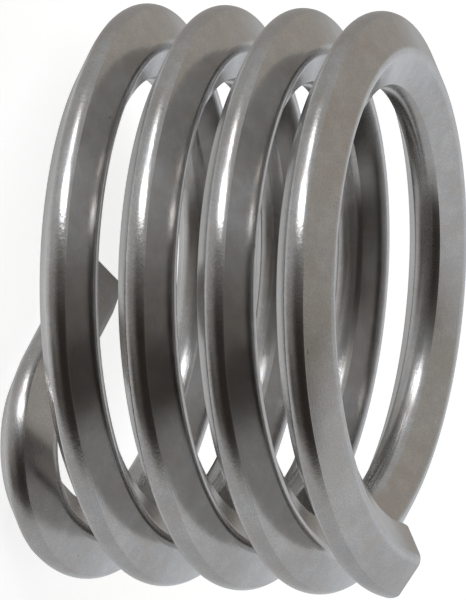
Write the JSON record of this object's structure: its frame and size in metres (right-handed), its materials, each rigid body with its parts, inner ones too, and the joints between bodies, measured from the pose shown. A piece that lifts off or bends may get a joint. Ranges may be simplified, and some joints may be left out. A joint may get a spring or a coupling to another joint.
{
  "type": "helical thread insert",
  "caption": "Right-hand coil of diamond-section steel wire with a bent driving tang across its bore, which lines a tapped hole with a new thread.",
  "frame": {"origin": "on the coil's axis, at the height of the wire's lowest point, which is under the bend of the tang", "axes": "+Z along the coil's axis from the tang end to the free end, so the insert stands on its tang end; +X towards the free end of the wire, to within a few degrees"},
  "size_m": [0.01, 0.01, 0.0068],
  "materials": {
    "stainless_wire": "bright drawn stainless wire, satin, with fine pits"
  },
  "bodies": {
    "root": {"insert_coil": "stainless_wire"}
  },
  "joints": []
}
